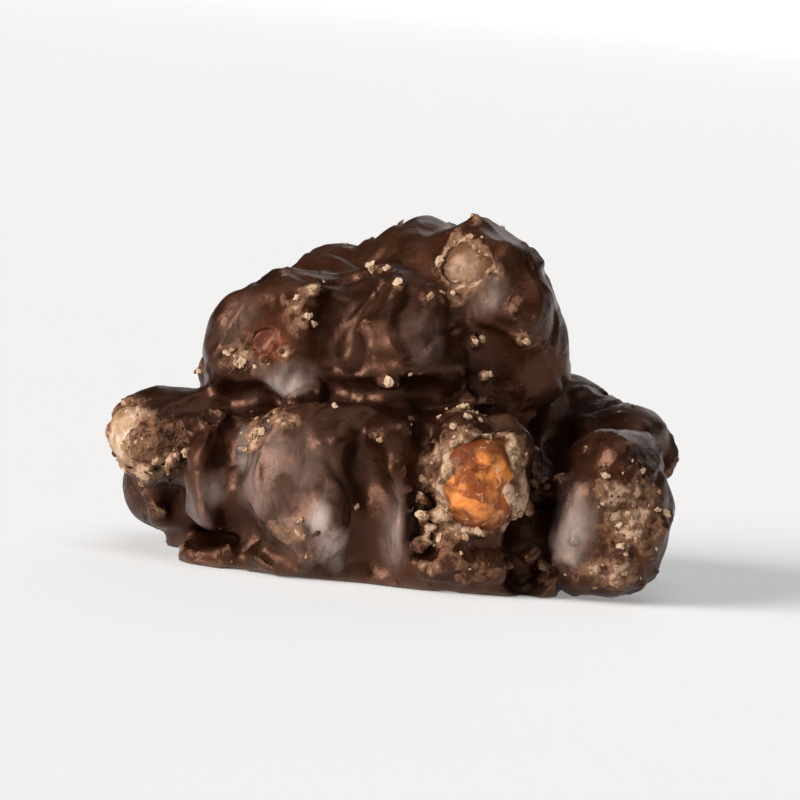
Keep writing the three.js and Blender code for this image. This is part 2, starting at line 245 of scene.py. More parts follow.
def foot(P):
    x, y = P[..., 0] - FOOT["centre"][0], P[..., 1] - FOOT["centre"][1]
    rx, ry = FOOT["radii"]
    a = np.arctan2(y / ry, x / rx)
    wave = sum(mm * np.sin(n * a + phase) for n, mm, phase in FOOT["waves"])
    e = FOOT["squareness"]
    r = ((np.abs(x) / (rx + wave)) ** e + (np.abs(y) / (ry + wave)) ** e) ** (1 / e)
    side = (r - 1) * np.hypot(x, y) / np.maximum(r, 1e-3)
    return -joined(-side, -(P[..., 2] - F(FOOT["thickness"])), 0.8)


def kernel_push(name):
    host, way, out, radius = KERNELS[name]
    return unit(way) * out


def kernel_face(name):
    """The middle of the broken place over a bare kernel."""
    host, way, out, radius = KERNELS[name]
    centre, size, angles, taper, square = LUMPS[host]
    own = turned(angles).T @ unit(way)
    reach = 1 / np.linalg.norm(own / (np.array(size) - COAT))
    straight = np.array(centre) + unit(way) * reach
    bent = straight.copy()
    for _ in range(6):
        bent = straight - bend(bent[None].astype(F))[0]
    return bent


def kernel(P, name, grow=0.0):
    host = KERNELS[name][0]
    return lump(P + bend(P), LUMPS[host], grow - COAT, kernel_push(name))


def coat(P):
    """Distance to the coated lumps, before the broken places and the flat underside."""
    Q = P + bend(P)
    d = None
    for name, row in LUMPS.items():
        e = lump(Q, row, flats=FLATS.get(name, ()))
        d = e if d is None else joined(d, e, FILLET)
    f = None
    for row in FILL.values():
        e = lump(Q, row)
        f = e if f is None else joined(f, e, 4.0)
    d = joined(d, f, FILL_FILLET)
    return joined(d, foot(P), FOOT_FILLET)


def onto_coat(P, rounds=60):
    """Moves points that start outside along their own way in to the coat."""
    P, way = P
    for _ in range(rounds):
        P = P - (way * np.maximum(coat(P), 0)[:, None] * 0.75).astype(F)
    n = slope_of(coat, P)
    return P, n / np.maximum(np.linalg.norm(n, axis=1, keepdims=True), 1e-9)


def surface_points(count, seed, low=0.6):
    """Scattered points on the coated lumps, with their outward normals."""
    rng = np.random.default_rng(seed)
    way = rng.normal(size=(count * 2, 3))
    way /= np.linalg.norm(way, axis=1, keepdims=True)
    way[:, 2] = np.abs(way[:, 2]) * 0.9 + 0.02
    heart = np.stack([rng.uniform(-9, 8, len(way)), rng.uniform(-5, 5, len(way)), rng.uniform(1.5, 13, len(way))], 1)
    P, n = onto_coat(((heart + way * 34).astype(F), way))
    good = (np.abs(coat(P)) < 0.05) & (P[:, 2] > low)
    return P[good][:count], n[good][:count]


def seen_line(points, step=0.5):
    """A line drawn in the photograph's picture plane, laid on the coat."""
    out = []
    for (x0, z0), (x1, z1) in zip(points[:-1], points[1:]):
        count = max(1, int(round(math.hypot(x1 - x0, z1 - z0) / step)))
        out += [(x0 + (x1 - x0) * i / count, z0 + (z1 - z0) * i / count) for i in range(count)]
    out.append(points[-1])
    forward, up = view_axes()
    P = np.array([np.array([x, 0, 0]) + up * (z - VIEW_DROP) - forward * 30 for x, z in out], F)
    return onto_coat((P, np.tile(-forward, (len(P), 1)).astype(F)), 90)


def egg_distance(P, centre, form, R, square=2.4):
    u = np.abs((P - centre) @ R) / form + F(1e-6)
    k = (u ** square).sum(-1)
    slope = np.sqrt(((u ** (square - 1) / form) ** 2).sum(-1)) * k ** (1 / square - 1)
    return (k ** (1 / square) - 1) / slope


def cap_distance(P, line):
    best = None
    for a, b in zip(line[:-1], line[1:]):
        ab = b - a
        t = np.clip(((P - a) @ ab) / max(float(ab @ ab), 1e-9), 0, 1)
        r = np.sqrt(((P - a - t[..., None] * ab) ** 2).sum(-1))
        best = r if best is None else np.minimum(best, r)
    return best


def small_shapes():
    """What lies on the lumps: grooves between them, half sunk nuts, hollows, runs and broken nut.
    Each is a box (low corner, high corner) and what it does to the distances inside it."""
    rng = np.random.default_rng(71)
    out = []

    def add(points, reach, act):
        points = np.atleast_2d(points)
        out.append((points.min(0) - reach, points.max(0) + reach, act))

    for line, radius, fillet in BRIDGES:
        add(np.array(line, F), radius + fillet, lambda Q, e, l=np.array(line, F), r=F(radius), soft=fillet:
            joined(e, cap_distance(Q, l) - r, soft))
    P, n = surface_points(COBBLES, 75, 1.5)
    for at, face in zip(P, n):
        size = rng.uniform(1.3, 2.9)
        form = (size * np.array([1, rng.uniform(0.6, 0.9), rng.uniform(0.6, 0.85)])).astype(F)
        R = turned((rng.uniform(0, 360), rng.uniform(-50, 50), rng.uniform(0, 360))).astype(F)
        centre = at - face * F(size * 0.80 - rng.uniform(0.10, 0.42))
        add(centre, size + 0.8, lambda Q, e, c=centre, f=form, R=R: joined(e, egg_distance(Q, c, f, R), 0.9))
    for across, high, size, proud in BEADS:
        P, n = seen_line([(across, high), (across, high)], 99)
        form = (size * np.array([1, rng.uniform(0.65, 0.9), rng.uniform(0.65, 0.85)])).astype(F)
        R = turned((rng.uniform(0, 360), rng.uniform(-50, 50), rng.uniform(0, 360))).astype(F)
        centre = (P[0] - n[0] * F(size * 0.80 - proud)).astype(F)
        add(centre, size + 0.8, lambda Q, e, c=centre, f=form, R=R: joined(e, egg_distance(Q, c, f, R), 0.8))
    P, n = surface_points(HOLLOWS, 73)
    for at, face in zip(P, n):
        radius = rng.uniform(1.8, 4.2)
        centre = at + face * F(radius - rng.uniform(0.08, 0.32))
        if coat(centre[None])[0] < radius * 0.90:     # only where nothing else stands near
            continue
        add(centre, radius + 0.7, lambda Q, e, c=centre, r=F(radius):
            -joined(-e, np.sqrt(((Q - c) ** 2).sum(-1)) - r, 0.7))
    for points, radius, depth, fillet in GROOVES:
        line, face = seen_line(points)
        line = line + face * F(radius - depth)
        line = line + F(0.22) * noise(line, 1.5, 81)[:, None] * np.roll(face, 1, 1)
        for i in range(0, len(line) - 1, 3):
            part = line[i:i + 4]
            add(part, radius + fillet, lambda Q, e, l=part, r=F(radius), soft=fillet:
                -joined(-e, cap_distance(Q, l) - r, soft))
    P, n = surface_points(RUNS, 74, 3.0)
    for at, face in zip(P, n):
        at, face = at.astype(float), face.astype(float)
        down = np.array([0.5 * rng.normal(), 0.5 * rng.normal(), -1.0]) if rng.random() < 0.6 else rng.normal(size=3)
        line, thick = [at], rng.uniform(0.35, 0.65)
        for _ in range(int(rng.integers(3, 8))):
            down = unit(down + 0.3 * rng.normal(size=3))
            at = at + unit(down - face * (down @ face)) * 0.9
            for _ in range(3):
                face = unit(slope_of(coat, at[None].astype(F))[0])
                at = at - face * float(coat(at[None].astype(F))[0])
            line.append(at - face * thick * 0.45)
        line = np.array(line, F)
        add(line, thick + 0.9, lambda Q, e, l=line, r=F(thick): joined(e, cap_distance(Q, l) - r, 0.7))
    for across, high, wide, tall, strength in SCUFFS:
        count = int(CHIPS_EACH * strength * (wide * tall) ** 0.9)
        spread = np.clip(rng.normal(size=(max(count, 1), 2)) * 0.55, -1, 1) * (wide, tall)
        P, n = seen_line([(across, high)] + [(across + a, high + b) for a, b in spread], 99)
        P, n = P[1:], n[1:]
        for at, face in zip(P, n):
            size = 0.24 + 0.62 * rng.random() ** 1.8
            form = (size * np.array([1, rng.uniform(0.55, 0.9), rng.uniform(0.4, 0.7)])).astype(F)
            R = turned((rng.uniform(0, 360), rng.uniform(-60, 60), rng.uniform(0, 360))).astype(F)
            centre = at - face * F(size * rng.uniform(0.15, 0.6))
            add(centre, size + 0.6, lambda Q, e, c=centre, f=form, R=R: joined(e, egg_distance(Q, c, f, R, 3.0), 0.30))
    for across, high, size in RINGS:          # burst bubbles
        P, n = seen_line([(across, high), (across, high)], 99)
        at, face = P[0], n[0]
        side = np.cross(face, [0, 0, 1]).astype(F)
        side /= np.linalg.norm(side)
        other = np.cross(face, side)
        a = np.linspace(0, 2 * np.pi, 15)
        ring = (at + size * (np.cos(a)[:, None] * side + np.sin(a)[:, None] * other) - face * 0.14).astype(F)
        add(at, size + 1.2, lambda Q, e, l=ring: joined(e, cap_distance(Q, l) - F(0.20), 0.45))
        hole = (at + face * 0.35).astype(F)
        add(at, size + 1.2, lambda Q, e, c=hole, r=F(size * 0.85): -joined(-e, np.sqrt(((Q - c) ** 2).sum(-1)) - r, 0.4))
    whole = len(out)
    for name in KERNELS:                      # the coat off the bare kernels, with a ragged rim
        face, radius = kernel_face(name).astype(F), BREAKS[name]

        def act(Q, e, name=name, face=face, radius=radius):
            r = np.sqrt(((Q - face) ** 2).sum(-1))
            edge = radius * (1 + 0.40 * noise(Q, radius * 0.85, 11) + 0.20 * noise(Q, radius * 0.36, 12))
            return np.maximum(e, edge - r)
        add(face, radius * 1.7, act)
    return out[:whole], out[whole:]


# ------------------------------------------------------------------ meshing
def grid_field(lo, hi, step, shapes, breaks):
    n = np.ceil((hi - lo) / step).astype(int) + 1
    ax = [(lo[i] + step * np.arange(n[i])).astype(F) for i in range(3)]
    out = np.empty(tuple(n), F)
    for i, x in enumerate(ax[0]):
        Y, Z = np.meshgrid(ax[1], ax[2], indexing="ij")
        out[i] = coat(np.stack([np.full_like(Y, x), Y, Z], -1))
    unbroken = None
    for row in shapes + breaks:
        if row is breaks[0]:
            unbroken = out.copy()
        low, high, act = row
        i0 = np.clip(np.floor((low - lo) / step).astype(int), 0, n - 1)
        i1 = np.clip(np.ceil((high - lo) / step).astype(int) + 1, 1, n)
        if (i1 <= i0).any():
            continue
        part = tuple(slice(a, b) for a, b in zip(i0, i1))
        P = np.stack(np.meshgrid(*(ax[k][part[k]] for k in range(3)), indexing="ij"), -1)
        out[part] = act(P, out[part])
    return -joined(-out, ax[2][None, None, :], 0.3), unbroken      # set flat on its sheet


def sampled(field, lo, step, P):
    """The grid's distances between its points."""
    q = (P - lo) / step
    i = np.clip(np.floor(q).astype(int), 0, np.array(field.shape) - 2)
    t = np.clip(q - i, 0, 1)
    out = 0
    for dx in (0, 1):
        for dy in (0, 1):
            for dz in (0, 1):
                w = ((t[:, 0] if dx else 1 - t[:, 0]) * (t[:, 1] if dy else 1 - t[:, 1])
                     * (t[:, 2] if dz else 1 - t[:, 2]))
                out = out + w * field[i[:, 0] + dx, i[:, 1] + dy, i[:, 2] + dz]
    return out


def surface_nets(field, lo, step):
    inside = field < 0
    nx, ny, nz = field.shape
    corners = [(a, b, c) for a in (0, 1) for b in (0, 1) for c in (0, 1)]
    part = lambda arr, o: arr[o[0]:nx - 1 + o[0], o[1]:ny - 1 + o[1], o[2]:nz - 1 + o[2]]
    count = sum(part(inside, o).astype(np.int8) for o in corners)
    active = (count > 0) & (count < 8)
    cells = np.argwhere(active)
    index = np.full(active.shape, -1, np.int64)
    index[active] = np.arange(len(cells))
    value = {o: part(field, o)[active] for o in corners}
    total, hits = np.zeros((len(cells), 3)), np.zeros(len(cells))
    for o in corners:
        for axis in range(3):
            if o[axis]:
                continue
            p = list(o)
            p[axis] = 1
            a, b = value[o], value[tuple(p)]
            cross = (a < 0) != (b < 0)
            at = np.tile(np.array(o, float), (len(cells), 1))
            at[:, axis] += np.where(cross, a / np.where(cross, a - b, 1), 0)
            total[cross] += at[cross]
            hits[cross] += 1
    verts = lo + step * (cells + total / hits[:, None])
    faces = []
    for axis in range(3):
        u, v = [(1, 2), (2, 0), (0, 1)][axis]
        a = [slice(1, -1)] * 3
        b = [slice(1, -1)] * 3
        a[axis], b[axis] = slice(0, -1), slice(1, None)
        first, second = inside[tuple(a)], inside[tuple(b)]
        cross = np.argwhere(first != second)
        base = cross.copy()
        for other in (u, v):
            base[:, other] += 1
        flip = first[tuple(cross.T)]
        quad = []
        for du, dv in ((-1, -1), (0, -1), (0, 0), (-1, 0)):
            c = base.copy()
            c[:, u] += du
            c[:, v] += dv
            quad.append(index[tuple(c.T)])
        quad = np.stack(quad, 1)
        quad[~flip] = quad[~flip][:, ::-1]
        faces.append(quad)
    return verts.astype(F), np.concatenate(faces)


def slope_of(fn, P, e=0.04):
    k = np.array([[1, -1, -1], [-1, -1, 1], [-1, 1, -1], [1, 1, 1]], F)
    g = sum(fn(P + row * F(e))[:, None] * row for row in k)
    return g / (4 * e)


def normals_of(verts, faces):
    a, b, c, d = (verts[faces[:, i]] for i in range(4))
    n = np.cross(c - a, d - b)
    out = np.zeros_like(verts)
    for i in range(4):
        for axis in range(3):
            out[:, axis] += np.bincount(faces[:, i], n[:, axis], len(verts)).astype(F)
    return out / np.maximum(np.linalg.norm(out, axis=1, keepdims=True), 1e-12)


def relaxed(values, faces, rounds):
    """Averages a value over its neighbours on the surface."""
    edges = np.concatenate([faces[:, [i, (i + 1) % 4]] for i in range(4)])
    edges = np.concatenate([edges, edges[:, ::-1]])
    n = len(values)
    count = np.bincount(edges[:, 0], minlength=n)
    v = values.astype(float)
    for _ in range(rounds):
        if v.ndim == 1:
            near = np.bincount(edges[:, 0], v[edges[:, 1]], n) / count
        else:
            near = np.stack([np.bincount(edges[:, 0], v[edges[:, 1], k], n) / count for k in range(v.shape[1])], 1)
        v = 0.5 * v + 0.5 * near
    return v.astype(F)


def new_mesh(name, verts, faces, smooth=True):
    """A mesh object from vertices in the tables' frame, in millimetres."""
    mesh = bpy.data.meshes.new(name)
    verts = (np.asarray(verts, F) + SHIFT) * F(0.001)
    faces = np.asarray(faces, np.int32)
    k = faces.shape[1]
    mesh.vertices.add(len(verts))
    mesh.vertices.foreach_set("co", verts.ravel())
    mesh.loops.add(faces.size)
    mesh.loops.foreach_set("vertex_index", faces.ravel())
    mesh.polygons.add(len(faces))
    mesh.polygons.foreach_set("loop_start", np.arange(0, faces.size, k, dtype=np.int32))
    mesh.polygons.foreach_set("loop_total", np.full(len(faces), k, np.int32))
    mesh.polygons.foreach_set("use_smooth", np.full(len(faces), smooth, bool))
    mesh.update(calc_edges=True)
    mesh.validate()
    obj = bpy.data.objects.new(name, mesh)
    bpy.context.scene.collection.objects.link(obj)
    return obj


def store(obj, name, values):
    layer = obj.data.attributes.new(name, "FLOAT", "POINT")
    layer.data.foreach_set("value", np.asarray(values, F))


# ------------------------------------------------------------------ the photograph's view
def view_axes():
    e = math.radians(ELEVATION)
    forward = np.array([0, math.cos(e), -math.sin(e)])
    up = np.array([0, math.sin(e), math.cos(e)])
    return forward, up


def seen(across, high):
    """The first point of the coat behind a place in the photograph's picture plane."""
    forward, up = view_axes()
    p = np.array([across, 0, 0]) + up * (high - VIEW_DROP) - forward * 30
    for _ in range(90):
        d = float(coat(p[None].astype(F))[0])
        if d < 0.02:
            return p
        p = p + forward * max(0.05, d * 0.7)
        if p[1] > 25:
            return None
    return p


# ------------------------------------------------------------------ the coat
lo, hi = np.array([-22.5, -16.5, -0.9]), np.array([21.0, 18.0, 27.9])
lo = lo + 0.37 * STEP
field, unbroken = grid_field(lo, hi, STEP, *small_shapes())
verts, faces = surface_nets(field, lo, STEP)
for _ in range(2):                       # evens the mesh out on the same surface
    normals = normals_of(verts, faces)
    even = relaxed(verts, faces, 1)
    along = even - verts
    along -= normals * (along * normals).sum(1, keepdims=True) * F(0.8)
    verts = (verts + 0.7 * along).astype(F)
    d = np.clip(sampled(field, lo, STEP, verts), -0.15, 0.15)
    verts = (verts - normals * d[:, None] * 0.8).astype(F)
verts[:, 2] = np.maximum(verts[:, 2], 0)
normals = normals_of(verts, faces)

# masks: how open each place is, how convex, how scuffed, and what faces down
open_to = np.ones(len(verts), F)
for reach, share in ((0.5, 0.15), (1.2, 0.25), (2.6, 0.30), (5.0, 0.30)):
    d = sampled(field, lo, STEP, verts + normals * F(reach))
    open_to -= share * np.clip(1 - d / reach, 0, 1)
smooth = relaxed(verts, faces, 10)
bulge = ((verts - smooth) * normals).sum(1)
bulge = np.clip(relaxed(bulge, faces, 2) / (STEP * STEP * 1.2), -1, 1)
under = np.clip((0.35 - verts[:, 2]) / 0.3, 0, 1)

scuff = np.zeros(len(verts), F)
for across, high, wide, tall, strength in SCUFFS:
    at = seen(across, high)
    if at is None:
        continue
    r = (verts - at.astype(F)) / np.array([wide, 3.0, tall], F)
    r = np.sqrt((r ** 2).sum(1)) * (1 + 0.25 * noise(verts, 1.4, 21))
    scuff = np.maximum(scuff, strength * np.clip(1.35 - r, 0, 1))
for name in KERNELS:
    face, radius = kernel_face(name).astype(F), BREAKS[name]
    r = np.sqrt(((verts - face) ** 2).sum(1)) / radius * (1 + 0.30 * noise(verts, 1.9, 22))
    scuff = np.maximum(scuff, RIMS[name] * np.clip(1.85 - r, 0, 0.55) / 0.55)
sheen_and_film = np.zeros(len(verts), F)
# painted sheen on the faces the key lamp glances off, from the table above
for across, high, wide, tall, strength in PAINTED_SHEENS:
    at = seen(across, high)
    r = (verts - at.astype(F)) / np.array([wide, 3.0, tall], F)
    r = np.sqrt((r ** 2).sum(1)) * (1 + 0.20 * noise(verts, 2.2, 31))
    sheen_and_film = np.maximum(sheen_and_film, strength * np.clip((1.25 - r) / 0.8, 0, 1))
rim = np.clip((1.0 - verts[:, 2]) / 0.6, 0, 1) * np.clip(0.5 + noise(verts, 2.6, 34), 0, 1) * (1 - under)
sheen_and_film = np.maximum(sheen_and_film, 0.25 * rim)                  # greyer and duller along the lowest millimetre of the foot, in patches
painted_glint = np.zeros(len(verts), F)
# painted glints on the faces the key lamp glances off
for across, high, wide, tall, strength in PAINTED_GLINTS:
    at = seen(across, high)
    r = (verts - at.astype(F)) / np.array([wide, 3.0, tall], F)
    r = np.sqrt((r ** 2).sum(1)) * (1 + 0.30 * noise(verts, 1.3, 36))
    painted_glint = np.maximum(painted_glint, strength * np.clip((1.35 - r) / 0.9, 0, 1))
away = np.clip((verts[:, 1] - 2) / 6, 0, 1)          # a grey film at random on the far side, by chance
sheen_and_film = np.maximum(sheen_and_film, away * np.clip(noise(verts, 5.5, 33) * 1.6 - 0.2, 0, 0.8))
# red skin that glows through a thin coat round one kernel
red = np.linalg.norm(verts - kernel_face("peanut_upper_left").astype(F), axis=1) / BREAKS["peanut_upper_left"]
red = np.clip(2.4 - red * (1 + 0.35 * noise(verts, 1.6, 35)), 0, 1)
# elsewhere the coat is rubbed here and there on its high places
front = np.clip((-verts[:, 1] + 2) / 6, 0, 1)
rubbed = bulge * 0.9 + 0.9 * noise(verts, 3.2, 23) + 0.5 * noise(verts, 1.1, 24) - 0.46 - 0.09 * front
rubbed = np.clip(rubbed, 0, 1)
scuff = np.maximum(scuff, rubbed * (0.75 - 0.2 * front))
scuff = np.clip(scuff * (1 - under), 0, 1)

# relief: the slow waves of thick chocolate, folds, and crumbs under a broken skin
ease = np.clip((open_to - 0.15) / 0.4, 0, 1)
relief = 0.14 * noise(verts, 4.6, 1) + 0.15 * noise(verts, 2.4, 2) + 0.08 * noise(verts, 1.3, 7) - 0.04
fold = 1 - np.abs(noise(verts * np.array([1, 1, 0.6], F), 3.9, 3))
relief += 0.20 * np.clip((fold - 0.80) / 0.2, 0, 1) ** 1.5
relief -= 0.20 * np.clip((1 - np.abs(noise(verts, 4.3, 4)) - 0.84) / 0.16, 0, 1)
relief += scuff * (0.15 * noise(verts, 1.25, 5) + 0.13 * noise(verts, 0.75, 6) + 0.05)
relief *= (0.35 + 0.65 * ease)
relief *= 1 - under
pits = np.clip(noise(verts, 1.5, 8) - 0.55, 0, 1) * 0.6 + np.clip(noise(verts, 0.8, 9) - 0.6, 0, 1) * 0.35
relief -= under * pits
down = under > 0.5
moved = normals * relief[:, None].astype(F)
verts = verts + moved
verts[:, 2] = np.maximum(verts[:, 2], 0)

coat_obj = new_mesh("chocolate_coat", verts, faces)
for label, values in (("open", open_to), ("bulge", bulge), ("scuff", scuff), ("under", under), ("sheen_and_film", sheen_and_film), ("painted_glint", painted_glint), ("red", red)):
    store(coat_obj, label, values)
print("coat", len(verts), "vertices", len(faces) * 2, "triangles")


# ------------------------------------------------------------------ the bare kernels
def ball(rows, cols):
    """A closed round grid of quads and end triangles, poles on X."""
    t = np.linspace(0, np.pi, rows + 1)[1:-1]
    a = np.linspace(0, 2 * np.pi, cols, endpoint=False)
    T, A = np.meshgrid(t, a, indexing="ij")
    v = np.stack([np.cos(T), np.sin(T) * np.cos(A), np.sin(T) * np.sin(A)], -1).reshape(-1, 3)
    v = np.concatenate([v, [[1, 0, 0], [-1, 0, 0]]])
    tris = []
    n = len(t)
    j = np.arange(cols)
    k = (j + 1) % cols
    for i in range(n - 1):
        p, q = i * cols, (i + 1) * cols
        tris.append(np.stack([p + j, q + j, q + k], 1))
        tris.append(np.stack([p + j, q + k, p + k], 1))
    tris.append(np.stack([np.full(cols, n * cols), j, k], 1))
    tris.append(np.stack([np.full(cols, n * cols + 1), (n - 1) * cols + k, (n - 1) * cols + j], 1))
    return v, np.concatenate(tris)


def cell_edges(P, wave, seed):
    """Distance from the middles of scattered cells: broken, faceted nut."""
    q = P / wave
    base = np.floor(q)
    best = np.full(len(P), 9.0)
    for dx in (-1, 0, 1):
        for dy in (-1, 0, 1):
            for dz in (-1, 0, 1):
                c = base + [dx, dy, dz]
                i = c.astype(np.int64).astype(np.uint32)
                at = c + np.stack([lattice(i[:, 0], i[:, 1], i[:, 2], seed + s) for s in (0, 1, 2)], 1)
                best = np.minimum(best, ((q - at) ** 2).sum(1))
    return np.sqrt(best)


nuts = []
for order, name in enumerate(KERNELS):
    host, way, out, radius = KERNELS[name]
    centre, size, angles, taper, square = LUMPS[host]
    v, tris = ball(110, 150)
    s = (np.abs(v) ** square).sum(1) ** (1 / square)
    v = v / s[:, None]
    fat = 1 + taper * v[:, 0]
    inner = np.array(size) - COAT
    p = v * inner * np.stack([np.ones(len(v)), fat, fat], 1)
    n = v / inner
    n /= np.linalg.norm(n, axis=1, keepdims=True)
    R = turned(angles)
    p = p @ R.T + np.array(centre) + kernel_push(name)
    n = n @ R.T
    straight = p.copy()
    for _ in range(6):
        p = straight - bend(p.astype(F))
    face = kernel_face(name)
    away = np.linalg.norm(p - face, axis=1) / BREAKS[name]
    shown = np.clip(1.6 - away, 0, 1)
    chips = cell_edges(p + 0.5 * noise(p.astype(F), 1.2, 44)[:, None], 2.1, 40 + order)
    grain = noise(p.astype(F), 0.9, 50 + order) * 0.06 + noise(p.astype(F), 2.0, 60 + order) * 0.12
    chip = np.clip(0.60 - chips, -0.25, 0.4) * 0.5
    p = p + n * ((grain + chip * (name in ("peanut_front", "peanut_left", "peanut_back_right"))
                  + 0.08) * shown)[:, None]
    # no higher than the coat's own surface, a little domed where bare, and sunk where covered
    reach = LIFTS[name] * np.maximum(0, 1 - away ** 2) - 0.05 - 0.55 * np.clip((away - 1.0) / 0.4, 0, 1)
    fill = 0
    if name == "peanut_upper_left":          # flush with the coat, whose skin is worn through
        reach = -0.05 - 0.55 * np.clip((away - 1.5) / 0.5, 0, 1)
        fill = np.clip((2.3 - away) / 0.4, 0, 1)
    for _ in range(24):
        off = sampled(unbroken, lo, STEP, p) - reach
        p = p - n * (np.maximum(off, 0) + np.minimum(off, 0) * fill)[:, None] * 0.9
    obj = new_mesh(name + "_kernel", p, tris)
    store(obj, "shown", shown)
    store(obj, "chip", np.clip(chips, 0, 1))
    nuts.append((obj, name))


# ------------------------------------------------------------------ crumbs
def icosphere():
    t = (1 + 5 ** 0.5) / 2
    v = [(-1, t, 0), (1, t, 0), (-1, -t, 0), (1, -t, 0), (0, -1, t), (0, 1, t), (0, -1, -t), (0, 1, -t),
         (t, 0, -1), (t, 0, 1), (-t, 0, -1), (-t, 0, 1)]
    v = [tuple(unit(p)) for p in v]
    f = [(0, 11, 5), (0, 5, 1), (0, 1, 7), (0, 7, 10), (0, 10, 11), (1, 5, 9), (5, 11, 4), (11, 10, 2),
         (10, 7, 6), (7, 1, 8), (3, 9, 4), (3, 4, 2), (3, 2, 6), (3, 6, 8), (3, 8, 9), (4, 9, 5),
         (2, 4, 11), (6, 2, 10), (8, 6, 7), (9, 8, 1)]
    for _ in range(1):
        mid, out = {}, []

        def half(a, b):
            key = (min(a, b), max(a, b))
            if key not in mid:
                mid[key] = len(v)
                v.append(tuple(unit(np.add(v[a], v[b]))))
            return mid[key]
        for a, b, c in f:
            ab, bc, ca = half(a, b), half(b, c), half(c, a)
            out += [(a, ab, ca), (b, bc, ab), (c, ca, bc), (ab, bc, ca)]
        f = out
    return np.array(v), np.array(f)


def crumbs(name, count, sizes, weight, seed, flat=0.6, singles=()):
    """Small irregular chips stuck to the coat, one joined mesh."""
    rng = np.random.default_rng(seed)
    v0, f0 = icosphere()
    chance = np.clip(weight, 0, None).astype(float)
    picks = rng.choice(len(verts), count, replace=False, p=chance / chance.sum())
    own = {}
    for i, (across, high, size) in enumerate(singles):
        spot = seen(across, high)
        picks[i] = np.argmin(((verts - spot) ** 2).sum(1))
        own[i] = size
    vs, fs, tone = [], [], []
    for i, at in enumerate(picks):
        size = own.get(i, sizes[0] + (sizes[1] - sizes[0]) * rng.random() ** 2.2)
        n = normals[at].astype(float)
        side = unit(np.cross(n, rng.normal(size=3)))
        other = np.cross(n, side)
        shape = np.array([1, 0.55 + 0.4 * rng.random(), flat * (0.6 + 0.5 * rng.random())]) * size
        jag = 1 + 0.28 * rng.normal(size=len(v0)).clip(-1.3, 1.3)
        local = v0 * jag[:, None] * shape
        tip = rng.normal(size=2) * 0.35
        n2 = unit(n + side * tip[0] + other * tip[1])
        side2 = unit(np.cross(other, n2))
        other2 = np.cross(n2, side2)
        p = verts[at] + n * size * flat * 0.25 + local @ np.stack([side2, other2, n2])
        p[:, 2] = np.maximum(p[:, 2], 0.02)
        vs.append(p)
        fs.append(f0 + i * len(v0))
        tone.append(np.full(len(v0), 0.9 if i in own else rng.random()))
    obj = new_mesh(name, np.concatenate(vs), np.concatenate(fs), smooth=False)
    store(obj, "tone", np.concatenate(tone))
    return obj


sides = 1 - under
for name in KERNELS:
    sides = sides * (np.linalg.norm(verts - kernel_face(name), axis=1) > BREAKS[name] * 0.9)
nut_crumbs = crumbs("nut_crumbs", 380, (0.10, 0.40), scuff ** 2 * sides * ease, 5, singles=CHIPS)
dark_crumbs = crumbs("chocolate_crumbs", 220, (0.10, 0.32), scuff * sides * ease, 6, flat=0.5)


